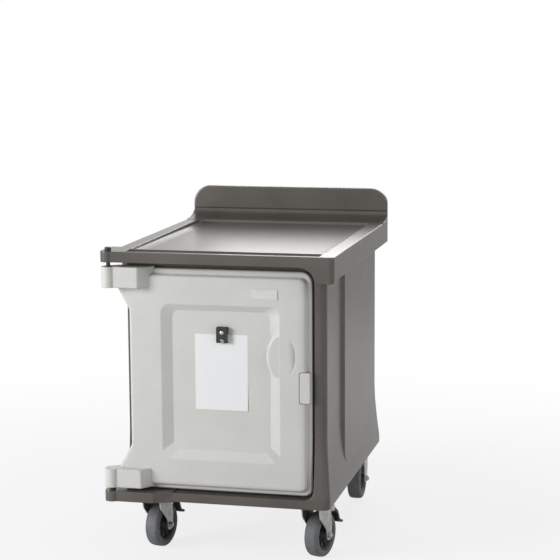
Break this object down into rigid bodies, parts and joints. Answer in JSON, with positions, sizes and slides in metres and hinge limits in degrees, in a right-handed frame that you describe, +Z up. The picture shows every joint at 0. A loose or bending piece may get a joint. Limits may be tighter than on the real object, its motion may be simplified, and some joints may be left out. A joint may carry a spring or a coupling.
{
  "type": "enclosed meal tray cart",
  "caption": "Insulated meal tray cart with one hinged door, a dished worktop with a push panel, tray racks inside and swivel and rigid casters.",
  "frame": {"origin": "middle of the cart's footprint, on the floor", "axes": "+X to the cart's right seen from the door, +Y from the door to the push panel, +Z up"},
  "size_m": [0.775, 1.034, 1.151],
  "materials": {
    "dark_plastic": "brown-grey moulded polyethylene, satin",
    "pale_plastic": "pale grey moulded plastic with fine speckle",
    "rack_plastic": "light grey injection-moulded plastic",
    "gasket_rubber": "matt extruded rubber",
    "black_plastic": "black moulded plastic",
    "black_steel": "black-coated steel",
    "steel": "plain stainless steel",
    "plate_plastic": "blank satin silver plate",
    "card": "plain white card",
    "zinc": "zinc-plated pressed steel",
    "tyre_rubber": "grey non-marking rubber",
    "core_plastic": "dark moulded polyolefin"
  },
  "bodies": {
    "cabinet": {"cabinet_shell": "dark_plastic", "worktop": "dark_plastic", "tray_rack_right": "rack_plastic", "tray_rack_left": "rack_plastic", "tray_ledge_right_1": "rack_plastic", "tray_ledge_right_2": "rack_plastic", "tray_ledge_right_3": "rack_plastic", "tray_ledge_right_4": "rack_plastic", "tray_ledge_right_5": "rack_plastic", "tray_ledge_left_1": "rack_plastic", "tray_ledge_left_2": "rack_plastic", "tray_ledge_left_3": "rack_plastic", "tray_ledge_left_4": "rack_plastic", "tray_ledge_left_5": "rack_plastic", "upper_hinge_pin": "black_steel", "lower_hinge_pin": "black_steel", "latch_strike": "steel", "caster_insert_front_left": "zinc", "caster_insert_front_right": "zinc", "caster_insert_rear_left": "zinc", "caster_insert_rear_right": "zinc", "caster_plate_front_left": "zinc", "kingpin_front_left": "zinc", "caster_plate_front_right": "zinc", "kingpin_front_right": "zinc", "rigid_bracket_rear_left": "zinc", "rigid_bracket_rear_right": "zinc", "axle_rear_left": "zinc", "axle_rear_right": "zinc"},
    "door": {"door": "pale_plastic", "door_gasket": "gasket_rubber", "upper_hinge_bush": "black_plastic", "lower_hinge_bush": "black_plastic", "latch_pin": "steel", "latch_spring": "steel", "name_plate": "plate_plastic", "menu_card": "card", "clip_base": "black_plastic", "clip_pin": "steel"},
    "latch": {"door_latch": "pale_plastic"},
    "clip": {"clip_lever": "black_plastic", "clip_rivet": "steel"},
    "wheel_front_left": {"tyre_front_left": "tyre_rubber", "wheel_hub_front_left": "core_plastic"},
    "fork_front_left": {"swivel_fork_front_left": "zinc", "pedal_pin_front_left": "zinc", "axle_front_left": "zinc"},
    "pedal_front_left": {"brake_pedal_front_left": "black_plastic"},
    "wheel_front_right": {"tyre_front_right": "tyre_rubber", "wheel_hub_front_right": "core_plastic"},
    "fork_front_right": {"swivel_fork_front_right": "zinc", "pedal_pin_front_right": "zinc", "axle_front_right": "zinc"},
    "pedal_front_right": {"brake_pedal_front_right": "black_plastic"},
    "wheel_rear_left": {"tyre_rear_left": "tyre_rubber", "wheel_hub_rear_left": "core_plastic"},
    "wheel_rear_right": {"tyre_rear_right": "tyre_rubber", "wheel_hub_rear_right": "core_plastic"}
  },
  "joints": [
    {"name": "door_hinge", "type": "hinge", "parent": "cabinet", "child": "door", "pos_m": [-0.3625, -0.492, 0.616], "axis": [0, 0, 1], "range_deg": [-270, 0]},
    {"name": "latch_press", "type": "hinge", "parent": "door", "child": "latch", "pos_m": [0.2745, -0.461, 0.602], "axis": [0, 0, 1], "range_deg": [0, 13], "stiffness_Nm_per_rad": 0.8, "springref_deg": -8.59},
    {"name": "clip_lift", "type": "hinge", "parent": "door", "child": "clip", "pos_m": [0.0115, -0.467, 0.774], "axis": [-1, 0, 0], "range_deg": [0, 16], "stiffness_Nm_per_rad": 0.4, "springref_deg": -5.73},
    {"name": "fork_front_left_swivel", "type": "hinge", "parent": "cabinet", "child": "fork_front_left", "pos_m": [-0.2585, -0.355, 0.185], "axis": [0, 0, 1], "continuous": true},
    {"name": "wheel_front_left_spin", "type": "hinge", "parent": "fork_front_left", "child": "wheel_front_left", "pos_m": [-0.2506, -0.31783, 0.076], "axis": [0.9781, -0.2079, 0], "continuous": true},
    {"name": "pedal_front_left_press", "type": "hinge", "parent": "fork_front_left", "child": "pedal_front_left", "pos_m": [-0.22724, -0.29212, 0.159], "axis": [0.9781, -0.2079, 0], "range_deg": [-6, 0]},
    {"name": "fork_front_right_swivel", "type": "hinge", "parent": "cabinet", "child": "fork_front_right", "pos_m": [0.2915, -0.355, 0.185], "axis": [0, 0, 1], "continuous": true},
    {"name": "wheel_front_right_spin", "type": "hinge", "parent": "fork_front_right", "child": "wheel_front_right", "pos_m": [0.30134, -0.31829, 0.076], "axis": [0.9659, -0.2588, 0], "continuous": true},
    {"name": "pedal_front_right_press", "type": "hinge", "parent": "fork_front_right", "child": "pedal_front_right", "pos_m": [0.326, -0.29385, 0.159], "axis": [0.9659, -0.2588, 0], "range_deg": [-6, 0]},
    {"name": "wheel_rear_left_spin", "type": "hinge", "parent": "cabinet", "child": "wheel_rear_left", "pos_m": [-0.2585, 0.394, 0.076], "axis": [1, 0, 0], "continuous": true},
    {"name": "wheel_rear_right_spin", "type": "hinge", "parent": "cabinet", "child": "wheel_rear_right", "pos_m": [0.2915, 0.394, 0.076], "axis": [1, 0, 0], "continuous": true}
  ]
}
